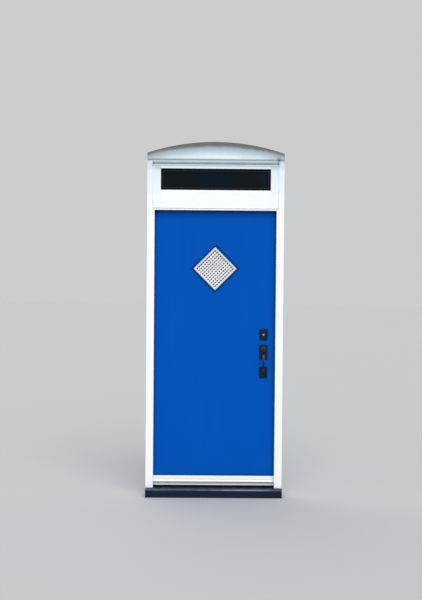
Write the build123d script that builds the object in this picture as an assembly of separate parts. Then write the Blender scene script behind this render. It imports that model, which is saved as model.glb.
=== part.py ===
from build123d import *
from math import cos, radians, sin, sqrt, tan
import os

# A flush timber front door with a diamond lattice light, in its frame, with a fixed fanlight above.
# X runs to the right seen from the street, Y runs into the house and Z runs up. The origin lies
# under the sill, half way between the jambs and in line with their street face. Sizes are in mm.

# Leaf
leaf_width = 914.0
leaf_height = 1981.0
leaf_thickness = 44.0
skin_thickness = 6.0
stile_width = 60.0
top_rail_height = 70.0
bottom_rail_height = 110.0
lock_block_width = 120.0
lock_block_margin = 70.0
leaf_gap = 3.0
seat_gap = 1.0

# Frame
jamb_thickness = 39.0
stop_depth = 49.0
stop_lap = 12.0
transom_height = 60.0
head_thickness = 31.0
head_bevel = 13.0
head_upstand = 30.0
board_thickness = 24.0
board_proud = 5.0
board_side = 46.0
arch_rise = 82.0

# Fanlight
pane_height = 156.0
sash_stile = 57.5
sash_top_rail = 32.0
sash_bottom_rail = 130.0
sash_setback = 4.0
sash_thickness = 32.0
sash_gap = 2.0
sash_arris = 2.0
glass_setback = 14.0
glass_thickness = 4.0
glass_bite = 8.0
putty_bead = 12.0

# Sill and threshold
sill_nose = 50.0
sill_nose_height = 60.5
sill_slope = 3.0
sill_arris = 9.0
sill_seat = 58.0
sill_step = 8.0
drip_radius = 4.0
drip_inset = 12.0
threshold_lap = 17.5
threshold_setback = 40.0
fascia_height = 24.5
groove_height = 11.5
groove_depth = 3.0
bead_height = 9.5
cove_height = 26.0
cove_depth = 15.0
cove_hollow = 4.0

# Diamond light
light_size = 228.0
light_margin = 207.0
light_bead_width = 17.0
light_bead_lap = 5.0
light_bead_proud = 7.0
light_bead_edge = 2.5
lattice_setback = 4.0
lath_width = 9.0
lath_thickness = 3.5
rising_lath_count = 10
falling_lath_count = 9
pane_thickness = 6.0
pane_gap = 1.0

# Hinges
hinge_height = 102.0
hinge_leaf_width = 36.0
hinge_leaf_thickness = 2.5
knuckle_radius = 6.0
knuckle_gap = 0.4
knuckle_count = 5
pin_radius = 3.0
pin_fit = 0.05
pin_head_height = 3.0
face_clearance = 0.5
hinge_screw_rows = (9.0, 19.0)
hinge_screw_reach = (39.0, 14.0)
hinge_top_inset = 180.0
hinge_bottom_inset = 250.0

# Screws
screw_head_radius = 4.2
screw_radius = 2.1
screw_length = 30.0
screw_fit = 0.1

# Wall fixings through the jambs
fixing_radius = 4.0
fixing_head_radius = 9.0
fixing_head_depth = 5.0
fixing_inset = 100.0
fixing_inner_inset = 600.0

# Lock and latch, both in round bores on one upright line
backset = 97.0
latch_height = 932.5
bore_radius = 27.0
case_radius = 12.0
case_fit = 0.25
bolt_height = 20.0
bolt_width = 13.0
bolt_fit = 0.4
bolt_length = 60.0
bolt_recess = 0.3
cheek_gap = 0.75
cheek_thickness = 1.5
hub_radius = 6.5
hub_overhang = 1.5
hub_fit = 0.05
crank_pin_radius = 1.5
crank_slack = 0.6
arm_thickness = 3.0
arm_gap = 0.5
yoke_thickness = 2.6
deadbolt_throw = 20.0
deadbolt_swing = 90.0
latch_throw = 12.0
latch_flat = 1.5
latch_swing = 50.0
faceplate_width = 25.0
faceplate_height = 57.0
faceplate_thickness = 2.5
strike_height = 64.0
strike_width = 26.0
strike_thickness = 2.0
strike_slack = 2.0
keep_depth = 26.0

# Trim on both faces
trim_thickness = 7.0
trim_width = 56.0
trim_chamfer = 2.5
deadbolt_trim_height = 77.0
upper_trim_height = 106.0
lower_trim_height = 81.0
deadbolt_trim_gap = 36.5
lower_trim_gap = 56.5
collar_radius = 18.0
collar_height = 7.0
barrel_radius = 13.0
mounting_radius = 25.5
mounting_thickness = 5.0
plug_radius = 6.5
plug_fit = 0.05
plug_proud = 1.0
keyway_height = 8.5
keyway_depth = 7.0
tailpiece_width = 5.4
tailpiece_thickness = 1.6
tailpiece_fit = 0.3
rose_radius = 33.0
rose_thickness = 7.0
through_screw_offset = 21.5
through_screw_radius = 2.0
boss_radius = 4.5
boss_length = 8.0
spindle_size = 7.0
spindle_fit = 0.15
socket_floor = 3.0
knob_radius = 27.0
knob_reach = 52.0
knob_neck = 9.5
knob_shank = 18.0
knob_back_radius = 15.0
knob_face_radius = 16.0
neck_sink = 4.0
neck_fit = 0.1
turn_length = 34.0
turn_width = 11.0
turn_reach = 22.0
turn_round = 3.7
turn_gap = 1.0

# Thumb piece and bow grip
thumb_rise = 16.0
thumb_reach = 36.0
thumb_width = 22.0
thumb_stem = 10.0
thumb_thickness = 4.0
thumb_eye = 3.5
thumb_back = 8.0
thumb_pad_root = 15.0
thumb_dish_radius = 44.0
thumb_dish_depth = 1.0
thumb_swing = 12.0
thumb_pin_radius = 1.5
thumb_pin_length = 20.0
thumb_slot_slack = 0.7
thumb_slot_half = 7.0
thumb_drop = 15.8
thumb_toe_end = 13.0
lug_inner = 0.8
lug_width = 1.8
lug_height = 2.6
lug_rise = 2.2
lug_gap = 0.5
hood_radius = 14.0
hood_proud = 2.5
grip_reach = 42.0
grip_thickness = 10.0
grip_foot_width = 18.0
grip_waist_width = 11.0
grip_top_inset = 46.0
grip_bottom_inset = 20.0
grip_foot_height = 16.0
grip_bolt_radius = 2.5
grip_bolt_head = 8.0
grip_bolt_head_height = 2.5
grip_bolt_cover = 2.5

# Widths across the doorway, from its middle
leaf_half = leaf_width / 2
rebate_x = leaf_half + leaf_gap
stop_x = leaf_half - stop_lap
frame_half = rebate_x + jamb_thickness

# Depths from the street face of the jambs
leaf_front = stop_depth + seat_gap
leaf_back = leaf_front + leaf_thickness
leaf_middle = leaf_front + leaf_thickness / 2
core_front = leaf_front + skin_thickness
core_back = leaf_back - skin_thickness
frame_depth = leaf_back
sash_back = sash_setback + sash_thickness
stop_back = sash_back + seat_gap

# Heights
slope_top_z = sill_nose_height + (sill_seat + sill_nose) * tan(radians(sill_slope))
sill_seat_z = slope_top_z + sill_step
bead_low = sill_seat_z + cove_height
bead_high = bead_low + bead_height
fascia_low = bead_high + groove_height
threshold_top = fascia_low + fascia_height
leaf_bottom = threshold_top - threshold_lap
leaf_top = leaf_bottom + leaf_height
transom_seat = leaf_top + leaf_gap
transom_low = leaf_top - stop_lap
transom_top = transom_seat + transom_height
sash_low = transom_seat
pane_low = sash_low + sash_bottom_rail
pane_high = pane_low + pane_height
sash_high = pane_high + sash_top_rail
head_low = sash_high + sash_gap
head_stop_low = head_low - (rebate_x - stop_x)
board_low = head_low + head_thickness
spring_z = board_low + board_side
crown_z = spring_z + arch_rise
light_z = leaf_top - top_rail_height - light_margin - light_size / sqrt(2)
latch_z = leaf_bottom + latch_height
deadbolt_z = latch_z + (upper_trim_height + deadbolt_trim_height) / 2 + deadbolt_trim_gap
lower_trim_z = latch_z - (upper_trim_height + lower_trim_height) / 2 - lower_trim_gap
thumb_z = latch_z + thumb_rise
lock_x = leaf_half - backset

SIDES = {"left": -1, "right": 1}
WHOLE = (-frame_half, frame_half)


def block(x, y, z):
    """Box that fills three (low, high) spans."""
    low, high = Vector(x[0], y[0], z[0]), Vector(x[1], y[1], z[1])
    return Pos(*((low + high) * 0.5)) * Box(*(high - low))


def span(a, b):
    """The two ends of a stretch, low end first."""
    return (min(a, b), max(a, b))


def about(middle, size):
    """The two ends of a stretch of that size about its middle."""
    return (middle - size / 2, middle + size / 2)


def rod_x(y, z, radius, x):
    """Cylinder along X between two stations."""
    return Pos((x[0] + x[1]) / 2, y, z) * Rot(0, 90, 0) * Cylinder(radius, x[1] - x[0])


def rod_y(x, z, radius, y):
    """Cylinder along Y between two stations."""
    return Pos(x, (y[0] + y[1]) / 2, z) * Rot(90, 0, 0) * Cylinder(radius, y[1] - y[0])


def rod_z(x, y, radius, z):
    """Cylinder along Z between two stations."""
    return Pos(x, y, (z[0] + z[1]) / 2) * Cylinder(radius, z[1] - z[0])


def run_x(curve, x):
    """Length of moulding along X from a closed section drawn as (y, z)."""
    section = Plane.YZ * make_face(curve.edges())
    return Pos(x[0], 0, 0) * extrude(section, x[1] - x[0], dir=(1, 0, 0))


def slab_y(curve, y):
    """Flat plate from a closed outline drawn as (x, z), filling a span along Y."""
    outline = Plane.XZ * make_face(curve.edges())
    return Pos(0, y[0], 0) * extrude(outline, y[1] - y[0], dir=(0, 1, 0))


def turned_y(x, z, outline):
    """Turned piece about a line along Y, from (radius, y) points that start and end on that line."""
    half = make_face(Polyline(*outline, close=True).edges())
    return Pos(x, 0, z) * revolve(half, Axis.Y)


def edge_near(piece, axis, point):
    """The edge of a piece that runs along an axis and lies nearest to a point."""
    return piece.edges().filter_by(axis).sort_by_distance(point)[0]


def screw_hole(point, direction):
    """Hole with its countersink for one wood screw."""
    return countersunk(point, direction, screw_length, screw_radius, screw_fit)


def countersunk(point, direction, length, radius, grow=0.0):
    """Countersunk screw from its head's face inwards, or with grow the hole that takes it."""
    head = screw_head_radius + grow
    shank = radius + grow
    taper = head - shank
    outline = [
        (0, -grow),
        (head, -grow),
        (shank, taper - grow),
        (shank, length - radius),
        (shank / 2, length + grow),
        (0, length + grow),
    ]
    half = Plane.XZ * make_face(Polyline(*outline, close=True).edges())
    return Plane(point, z_dir=direction) * revolve(half, Axis.Z)


# Frame


def sill_outline(nose_round):
    """Section of the sill: an upright nose, a weathered top and a raised level seat at the back."""
    outline = Polyline(
        (frame_depth, 0),
        (-sill_nose, 0),
        (-sill_nose, sill_nose_height),
        (sill_seat, slope_top_z),
        (sill_seat, sill_seat_z),
        (frame_depth, sill_seat_z),
        close=True,
    )
    body = run_x(outline, WHOLE)
    if nose_round:
        arris = edge_near(body, Axis.X, (0, -sill_nose, sill_nose_height))
        body = fillet(arris, sill_arris)
    return body


def door_sill():
    drip_y = drip_inset - sill_nose
    return sill_outline(True) - rod_x(drip_y, 0, drip_radius, (-frame_half, frame_half))


def threshold():
    """Moulded upstand in front of the leaf's foot, planted on a base that stands on the sill's seat."""
    face, back = threshold_setback, threshold_setback + groove_depth
    cove_middle = (
        face + cove_depth / 2 + cove_hollow,
        bead_low - cove_height / 2 + cove_hollow * cove_depth / cove_height,
    )
    bead_nose = (face - bead_height / 2, (bead_high + bead_low) / 2)
    moulding = (
        Polyline((stop_depth, threshold_top), (face, threshold_top), (face, fascia_low))
        + Polyline((face, fascia_low), (back, fascia_low), (back, bead_high), (face, bead_high))
        + ThreePointArc((face, bead_high), bead_nose, (face, bead_low))
        + ThreePointArc((face, bead_low), cove_middle, (face + cove_depth, sill_seat_z))
        + Polyline((face + cove_depth, sill_seat_z), (frame_depth, sill_seat_z))
        + Polyline((frame_depth, sill_seat_z), (frame_depth, leaf_bottom - leaf_gap))
        + Polyline((frame_depth, leaf_bottom - leaf_gap), (stop_depth, leaf_bottom - leaf_gap))
        + Polyline((stop_depth, leaf_bottom - leaf_gap), (stop_depth, threshold_top))
    )
    body = run_x(moulding, (-rebate_x, rebate_x))
    for side in SIDES.values():
        body -= block(span(side * stop_x, side * rebate_x), (0, stop_depth), (0, threshold_top))
    upstand = block((-stop_x, stop_x), (0, stop_depth), (0, threshold_top))
    return [body & upstand, body - upstand]


def fixing_heights():
    """Heights of the wall fixings in each jamb: an outer pair and an inner pair."""
    middle = (leaf_bottom + leaf_top) / 2
    outer = leaf_height / 2 - fixing_inset
    inner = leaf_height / 2 - fixing_inner_inset
    return [middle - outer, middle - inner, middle + inner, middle + outer]


def jamb_stops(side):
    """Strips planted on a jamb: in front of the leaf below the transom, behind the fanlight above it."""
    x = span(side * stop_x, side * rebate_x)
    door_stop = block(x, (0, stop_depth), (0, transom_low)) - sill_outline(False)
    return [door_stop, block(x, (stop_back, frame_depth), (transom_top, head_low))]


def jamb_post(side):
    """Upright that stands on the sill, bored for the wall fixings."""
    post = block(span(side * rebate_x, side * frame_half), (0, frame_depth), (0, head_low))
    post -= sill_outline(False)
    for z in fixing_heights():
        post -= rod_x(leaf_middle, z, fixing_radius, span(side * rebate_x, side * frame_half))
        head = span(side * rebate_x, side * (rebate_x + fixing_head_depth))
        post -= rod_x(leaf_middle, z, fixing_head_radius, head)
    return post


def hinge_jamb():
    post = jamb_post(SIDES["left"])
    for z in hinge_heights():
        post -= hinge_recess(z, -rebate_x - hinge_leaf_thickness, -rebate_x)
        for y, height in hinge_screw_spots(z):
            post -= screw_hole((-rebate_x, y, height), (-1, 0, 0))
    return [post] + jamb_stops(SIDES["left"])


def lock_jamb():
    post = jamb_post(SIDES["right"])
    for z in (deadbolt_z, latch_z):
        post -= strike_recess(z)
        post -= keep_pocket(z)
        for height in strike_screw_heights(z):
            post -= screw_hole((rebate_x, leaf_middle, height), (1, 0, 0))
    return [post] + jamb_stops(SIDES["right"])


def transom():
    """Cross bar, with a lip under its front that stops the leaf below and carries the fanlight above."""
    inside = (-rebate_x, rebate_x)
    lip = block(inside, (0, stop_depth), (transom_low, transom_seat))
    return [lip, block(inside, (stop_back, frame_depth), (transom_seat, transom_top))]


def frame_head():
    """Head over both jambs with an upstand behind the arched board, and a stop behind the fanlight."""
    body = block(WHOLE, (0, frame_depth), (head_low, board_low))
    body += block(WHOLE, (board_thickness - board_proud, frame_depth), (board_low, board_low + head_upstand))
    bevel = Polyline((0, head_low), (0, head_low + head_bevel), (head_bevel, head_low), close=True)
    body -= run_x(bevel, (-rebate_x, rebate_x))
    return [body, block((-stop_x, stop_x), (stop_back, frame_depth), (head_stop_low, head_low))]


def arched_head_board():
    outline = Polyline(
        (frame_half, spring_z), (frame_half, board_low), (-frame_half, board_low), (-frame_half, spring_z)
    ) + ThreePointArc((-frame_half, spring_z), (0, crown_z), (frame_half, spring_z))
    return slab_y(outline, (-board_proud, board_thickness - board_proud))


# Fanlight

sash_half = rebate_x - sash_gap
pane_half = sash_half - sash_stile
glass_front = sash_setback + glass_setback
glass_back = glass_front + glass_thickness
rebate_grow = glass_bite + seat_gap


def fanlight_void():
    """Daylight opening through the sash with the wider rebate behind the glass."""
    daylight = block((-pane_half, pane_half), (sash_setback, sash_back), (pane_low, pane_high))
    rebate = block(
        (-pane_half - rebate_grow, pane_half + rebate_grow),
        (glass_front, sash_back),
        (pane_low - rebate_grow, pane_high + rebate_grow),
    )
    opening = daylight + rebate
    for z in (pane_low, pane_high):
        opening += arris_cut(0, z, Axis.X)
    for x in (-pane_half, pane_half):
        opening += arris_cut(x, (pane_low + pane_high) / 2, Axis.Z)
    return opening


def arris_cut(x, z, across):
    """Small bevel along one side of the daylight opening, on the street face."""
    long = 2 * pane_half if across == Axis.X else pane_height
    wedge = Rot(0, 0, 45) * Box(sash_arris * sqrt(2), sash_arris * sqrt(2), long)
    turn = Rot(0, 90, 0) if across == Axis.X else Rot(0, 0, 0)
    return Pos(x, sash_setback, z) * turn * wedge


def fanlight_stile(side):
    stile = block(span(side * pane_half, side * sash_half), (sash_setback, sash_back), (sash_low, sash_high))
    return stile - fanlight_void()


def fanlight_rail(z):
    return block((-pane_half, pane_half), (sash_setback, sash_back), z) - fanlight_void()


def fanlight_glass():
    return block(
        (-pane_half - glass_bite, pane_half + glass_bite),
        (glass_front, glass_back),
        (pane_low - glass_bite, pane_high + glass_bite),
    )


def fanlight_beads():
    """Four square beads that hold the glass from the room side."""
    depth = (glass_back, sash_back)
    x_out, x_in = pane_half + rebate_grow, pane_half + rebate_grow - putty_bead
    low, high = pane_low - rebate_grow, pane_high + rebate_grow
    beads = [block(span(side * x_in, side * x_out), depth, (low, high)) for side in SIDES.values()]
    beads.append(block((-x_in, x_in), depth, (low, low + putty_bead)))
    beads.append(block((-x_in, x_in), depth, (high - putty_bead, high)))
    return beads


# Diamond light

light_opening = light_size - 2 * light_bead_lap
clear_size = light_size - 2 * light_bead_width
lattice_front = leaf_front + lattice_setback
lattice_back = lattice_front + 2 * lath_thickness
pane_back = lattice_back + pane_thickness


def diamond(piece):
    """Turns a piece drawn about the light's middle on its corner and lifts it into place."""
    return Pos(0, 0, light_z) * Rot(0, 45, 0) * piece


def light_hole(y):
    return diamond(block(about(0, light_opening), y, about(0, light_opening)))


def light_bead(profile):
    """One mitred bead along the right side of the light, before it is turned on its corner."""
    length = light_size / 2
    strip = Pos(0, 0, -length) * extrude(make_face(profile.edges()), 2 * length, dir=(0, 0, 1))
    depth = (leaf_front - light_bead_proud, leaf_back + light_bead_proud)
    mitre = slab_y(Polyline((0, 0), (length, length), (length, -length), close=True), depth)
    return strip & mitre


def ring_of_four(bead):
    return [diamond(Rot(0, quarter * 90, 0) * bead) for quarter in range(4)]


def light_bead_profile(face, outward, seat):
    """Section of a bead: a rounded flange on the leaf's face and a leg that reaches in to its seat."""
    inner, lap, outer = clear_size / 2, light_opening / 2, light_size / 2
    top = face + outward * light_bead_proud
    shoulder = face + outward * light_bead_edge
    crest = ((inner + outer) / 2, top)
    return ThreePointArc((inner, shoulder), crest, (outer, shoulder)) + Polyline(
        (outer, shoulder), (outer, face), (lap, face), (lap, seat), (inner, seat), (inner, shoulder)
    )


def light_outer_beads():
    return ring_of_four(light_bead(light_bead_profile(leaf_front, -1, lattice_front)))


def light_inner_beads():
    return ring_of_four(light_bead(light_bead_profile(leaf_back, 1, pane_back)))


def light_pane():
    side = light_opening - 2 * pane_gap
    return diamond(block(about(0, side), (lattice_back, pane_back), about(0, side)))


def lath_places(count):
    """Middles of that many laths, with equal holes between them and beside the beads."""
    hole = (clear_size - count * lath_width) / (count + 1)
    pitch = hole + lath_width
    return [pitch * (n - (count - 1) / 2) for n in range(count)]


def lattice_laths(count, front, rising):
    """One layer of laths, all parallel to one pair of the light's sides."""
    y = (front, front + lath_thickness)
    side = light_opening - 2 * pane_gap
    laths = []
    for place in lath_places(count):
        long, short = about(0, side), about(place, lath_width)
        across, up = (short, long) if rising else (long, short)
        laths.append(diamond(block(across, y, up)))
    return laths


# Leaf


def leaf_bores(z):
    """Round bores for a tubular lock: one through the faces and one in from the edge."""
    across = rod_y(lock_x, z, bore_radius, (leaf_front, leaf_back))
    return across + rod_x(leaf_middle, z, case_radius + case_fit, (lock_x, leaf_half))


def faceplate_block(z):
    return block(
        (leaf_half - faceplate_thickness, leaf_half),
        about(leaf_middle, faceplate_width),
        about(z, faceplate_height),
    )


def leaf_cuts():
    """Everything that is cut out of the leaf once it is glued up."""
    cuts = light_hole((leaf_front, leaf_back))
    for z in (deadbolt_z, latch_z):
        cuts += leaf_bores(z) + faceplate_block(z)
        for height in faceplate_screw_heights(z):
            cuts += screw_hole((leaf_half, leaf_middle, height), (-1, 0, 0))
    for z in hinge_heights():
        cuts += hinge_recess(z, -leaf_half, -leaf_half + hinge_leaf_thickness)
        for y, height in hinge_screw_spots(z):
            cuts += screw_hole((-leaf_half, y, height), (1, 0, 0))
    cuts += rod_y(lock_x, lower_trim_z, boss_radius + case_fit, (leaf_front, leaf_front + boss_length))
    cuts += rod_y(lock_x, lower_trim_z, grip_bolt_radius + screw_fit, (leaf_front, leaf_back))
    return cuts


def leaf_boards():
    """The timber pieces of the leaf, by name, before the cuts."""
    full = (leaf_bottom, leaf_top)
    core = (core_front, core_back)
    inner_half = leaf_half - stile_width
    rails = (leaf_bottom + bottom_rail_height, leaf_top - top_rail_height)
    lock_low = lower_trim_z - lock_block_margin
    lock_high = deadbolt_z + lock_block_margin
    block_x = (inner_half - lock_block_width, inner_half)
    lock_block = block(block_x, core, (lock_low, lock_high))
    return {
        "outer_skin": block((-leaf_half, leaf_half), (leaf_front, core_front), full),
        "inner_skin": block((-leaf_half, leaf_half), (core_back, leaf_back), full),
        "hinge_stile": block((-leaf_half, -inner_half), core, full),
        "lock_stile": block((inner_half, leaf_half), core, full),
        "top_rail": block((-inner_half, inner_half), core, (rails[1], leaf_top)),
        "bottom_rail": block((-inner_half, inner_half), core, (leaf_bottom, rails[0])),
        "lock_block": lock_block,
        "door_core": block((-inner_half, inner_half), core, rails) - lock_block,
    }


# Hinges

pin_x = -(leaf_half + leaf_gap / 2)
pin_y = leaf_back + knuckle_radius + face_clearance


def hinge_heights():
    """Middle heights of the three hinges, lowest first."""
    low = leaf_bottom + hinge_bottom_inset
    high = leaf_top - hinge_top_inset
    return [low, (low + high) / 2, high]


def hinge_recess(z, x_low, x_high):
    return block((x_low, x_high), (pin_y - hinge_leaf_width, leaf_back), about(z, hinge_height))


def hinge_screw_spots(z):
    """(y, z) of the four screws in one leaf of a hinge, staggered in two rows."""
    edge = pin_y - hinge_leaf_width
    rows = zip(hinge_screw_rows, hinge_screw_reach)
    return [(edge + row, z + sign * reach) for row, reach in rows for sign in (-1, 1)]


def knuckles(z, parity):
    """Every other knuckle of a hinge, with the clearance between neighbours."""
    pitch = (hinge_height + knuckle_gap) / knuckle_count
    low = z - hinge_height / 2
    spans = [(low + n * pitch, low + (n + 1) * pitch - knuckle_gap) for n in range(knuckle_count)]
    return spans[parity::2]


def hinge_leaf(z, x_face, direction, parity):
    """Flat leaf with its own knuckles, cut clear of the other leaf's knuckles and bored for the pin."""
    x = span(x_face, x_face + direction * hinge_leaf_thickness)
    leaf = block(x, (pin_y - hinge_leaf_width, pin_y), about(z, hinge_height))
    clear = knuckle_radius + face_clearance
    for low, high in knuckles(z, 1 - parity):
        leaf -= rod_z(pin_x, pin_y, clear, (low - knuckle_gap, high + knuckle_gap))
    for stretch in knuckles(z, parity):
        leaf += rod_z(pin_x, pin_y, knuckle_radius, stretch)
    leaf -= rod_z(pin_x, pin_y, pin_radius + pin_fit, about(z, hinge_height))
    for y, height in hinge_screw_spots(z):
        leaf -= screw_hole((x_face, y, height), (direction, 0, 0))
    return leaf


def hinge_pin(z):
    """Pin with a button head that rests on the top knuckle and a plain lower end."""
    top = z + hinge_height / 2
    shank = rod_z(pin_x, pin_y, pin_radius, (z - hinge_height / 2, top))
    head = rod_z(pin_x, pin_y, knuckle_radius - face_clearance, (top, top + pin_head_height))
    return shank + fillet(head.edges().sort_by(Axis.Z)[-1], pin_head_height / 2)


def hinge_screws(x_face, direction):
    return [
        countersunk((x_face, y, height), (direction, 0, 0), screw_length, screw_radius)
        for z in hinge_heights()
        for y, height in hinge_screw_spots(z)
    ]


# Strikes in the lock jamb


def strike_recess(z):
    x = (rebate_x, rebate_x + strike_thickness)
    return block(x, about(leaf_middle, strike_width), about(z, strike_height))


def keep_pocket(z):
    """Hollow in the jamb that takes the shot bolt."""
    width = bolt_width + 2 * strike_slack
    height = bolt_height + 2 * strike_slack
    return block((rebate_x, rebate_x + keep_depth), about(leaf_middle, width), about(z, height))


def strike_screw_heights(z):
    reach = (strike_height + bolt_height + 2 * strike_slack) / 4
    return [z - reach, z + reach]


def strike_plate(z):
    plate = strike_recess(z) - keep_pocket(z)
    for height in strike_screw_heights(z):
        plate -= screw_hole((rebate_x, leaf_middle, height), (1, 0, 0))
    return plate


# Tubular lock: a case in the edge bore, a crank in the face bore and a bolt that it shoots


def bolt_channel(z, x, grow):
    """Rounded bar along X with the bolt's section, grown by a clearance."""
    section = SlotOverall(bolt_height + 2 * grow, bolt_width + 2 * grow)
    return Pos(x[0], leaf_middle, z) * extrude(Plane.YZ * (Rot(0, 0, 90) * section), x[1] - x[0])


def faceplate_screw_heights(z):
    reach = (faceplate_height + bolt_height) / 4 + bolt_fit
    return [z - reach, z + reach]


def faceplate(z):
    plate = faceplate_block(z) - bolt_channel(z, (leaf_half - faceplate_thickness, leaf_half), bolt_fit)
    for height in faceplate_screw_heights(z):
        plate -= screw_hole((leaf_half, leaf_middle, height), (-1, 0, 0))
    return plate


case_start = lock_x + bore_radius + cheek_thickness
case_end = leaf_half - faceplate_thickness
cheek_inner = bolt_width / 2 + cheek_gap
cheek_outer = cheek_inner + cheek_thickness
cheek_half = sqrt(case_radius**2 - cheek_outer**2) - case_fit
hub_half = cheek_outer + hub_overhang
hub_span = (leaf_middle - hub_half, leaf_middle + hub_half)
hub_socket = (hub_span[0] + socket_floor, hub_span[1])


def lock_case(z):
    """Tube round the bolt, with two cheeks that carry the crank's hub across the face bore."""
    tube = rod_x(leaf_middle, z, case_radius, (case_start, case_end))
    tube -= bolt_channel(z, (case_start, case_end), bolt_fit)
    for side in SIDES.values():
        y = span(leaf_middle + side * cheek_inner, leaf_middle + side * cheek_outer)
        cheek = block((lock_x - 2 * hub_radius, case_start + cheek_thickness), y, about(z, 2 * cheek_half))
        tube += cheek - rod_y(lock_x, z, hub_radius + hub_fit, y)
    return tube


def crank_radius(throw, swing):
    return throw / (2 * sin(radians(swing / 2)))


def crank_pin(throw, swing):
    """Place of the crank's pin beside and above its hub, with the bolt drawn back."""
    radius = crank_radius(throw, swing)
    return -throw / 2, radius * cos(radians(swing / 2))


def crank(z, throw, swing, drive):
    """Hub with an arm and a pin. The pin shoots the bolt as the hub turns."""
    dx, dz = crank_pin(throw, swing)
    hub = rod_y(lock_x, z, hub_radius, hub_span)
    arm_y = (leaf_middle - arm_gap - arm_thickness, leaf_middle - arm_gap)
    reach = crank_radius(throw, swing)
    tilt = Rot(0, -swing / 2, 0)
    arm = Pos(0, 0, reach / 2) * Box(4 * crank_pin_radius, arm_y[1] - arm_y[0], reach)
    hub += Pos(lock_x, (arm_y[0] + arm_y[1]) / 2, z) * tilt * arm
    hub += rod_y(lock_x + dx, z + dz, 2 * crank_pin_radius, arm_y)
    hub += rod_y(lock_x + dx, z + dz, crank_pin_radius, (arm_y[0], leaf_middle + cheek_inner - arm_gap))
    return hub - drive


def lock_bolt(z, throw, swing):
    """Bolt drawn back flush with the leaf's edge, with a slotted yoke that the crank's pin moves."""
    nose = leaf_half - bolt_recess
    tail = nose - bolt_length
    bar = bolt_channel(z, (tail, nose), 0)
    dx, dz = crank_pin(throw, swing)
    reach = crank_radius(throw, swing)
    half = crank_pin_radius + crank_slack
    wall = crank_pin_radius
    yoke_y = (leaf_middle, leaf_middle + yoke_thickness)
    low, high = hub_radius + crank_slack, reach + half + wall
    neck = block((lock_x + dx, tail + wall), yoke_y, (z + low, z + bolt_height / 2 - bolt_fit))
    yoke = block(about(lock_x + dx, 2 * (half + wall)), yoke_y, (z + low, z + high))
    slot = block(about(lock_x + dx, 2 * half), yoke_y, (z + dz - half, z + reach + half))
    return bar + neck + yoke - slot


def latch_bolt():
    """Bolt with a nose bevelled on the street side, so that it rides over the strike as the leaf shuts."""
    bolt = lock_bolt(latch_z, latch_throw, latch_swing)
    nose = leaf_half - bolt_recess
    street, room = leaf_middle - bolt_width / 2, leaf_middle + bolt_width / 2
    corner = Polyline((nose, street), (nose - latch_throw, street), (nose, room - latch_flat), close=True)
    bevel = extrude(make_face(corner.edges()), bolt_height, dir=(0, 0, 1))
    return bolt - Pos(0, 0, latch_z - bolt_height / 2) * bevel


def tailpiece_bar(y, grow):
    x = about(lock_x, tailpiece_thickness + 2 * grow)
    return block(x, y, about(deadbolt_z, tailpiece_width + 2 * grow))


def spindle_bar(y, grow):
    return block(about(lock_x, spindle_size + 2 * grow), y, about(latch_z, spindle_size + 2 * grow))


def deadbolt_crank():
    return crank(deadbolt_z, deadbolt_throw, deadbolt_swing, tailpiece_bar(hub_span, tailpiece_fit))


def latch_hub():
    """Latch crank with a blind square socket and a lug that the thumb piece's toe lifts."""
    body = crank(latch_z, latch_throw, latch_swing, spindle_bar(hub_socket, spindle_fit))
    lug_x = (lock_x + lug_inner, lock_x + lug_inner + lug_width)
    lug_y = (thumb_pin_y + thumb_toe_end - thumb_thickness + lug_gap, hub_span[0])
    return body + block(lug_x, lug_y, (latch_z + lug_rise, latch_z + lug_rise + lug_height))


# Street side trim

trim_front = leaf_front - trim_thickness


def trim_plate(z, height):
    """Bevelled back plate on the street face, about its own middle height."""
    plate = block(about(lock_x, trim_width), (trim_front, leaf_front), about(z, height))
    return chamfer(plate.faces().sort_by(Axis.Y)[0].edges(), trim_chamfer)


def through_screw_spots(z, angle):
    """(x, z) of the two screws that clamp the trim, either side of the spindle."""
    dx = through_screw_offset * cos(radians(angle))
    dz = through_screw_offset * sin(radians(angle))
    return [(lock_x + dx, z + dz), (lock_x - dx, z - dz)]


deadbolt_screws = through_screw_spots(deadbolt_z, 90)
latch_screws = through_screw_spots(latch_z, 135)


def deadbolt_plate():
    return trim_plate(deadbolt_z, deadbolt_trim_height) - rod_y(
        lock_x, deadbolt_z, barrel_radius + neck_fit, (trim_front, leaf_front)
    )


def lock_cylinder():
    """Collar on the plate, barrel through it and mounting disc behind, bored for the plug."""
    rim = trim_front - collar_height
    mount = leaf_front + mounting_thickness
    barrel_end = hub_span[0] - seat_gap
    body = turned_y(
        lock_x,
        deadbolt_z,
        [
            (0, rim),
            (collar_radius - trim_chamfer, rim),
            (collar_radius, trim_front),
            (barrel_radius, trim_front),
            (barrel_radius, leaf_front),
            (mounting_radius, leaf_front),
            (mounting_radius, mount),
            (barrel_radius, mount),
            (barrel_radius, barrel_end),
            (0, barrel_end),
        ],
    )
    body -= rod_y(lock_x, deadbolt_z, plug_radius + plug_fit, (rim, barrel_end))
    for x, z in deadbolt_screws:
        body -= rod_y(x, z, through_screw_radius + screw_fit, (leaf_front, mount))
    return body


def key_plug():
    """Plug with a keyway and the flat tailpiece that turns the crank and the thumb turn together."""
    rim = trim_front - collar_height - plug_proud
    end = hub_span[0] - seat_gap
    plug = rod_y(lock_x, deadbolt_z, plug_radius, (rim, end))
    slot = about(lock_x, tailpiece_thickness)
    keyway = block(slot, (rim, rim + keyway_depth), about(deadbolt_z, keyway_height))
    return plug - keyway + tailpiece_bar((end, leaf_back - seat_gap), 0)


def thumb_slot(y):
    width = thumb_stem + 2 * thumb_slot_slack
    return block(about(lock_x, width), y, about(thumb_z, 2 * thumb_slot_half))


thumb_pin_y = (trim_front + leaf_front) / 2


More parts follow.
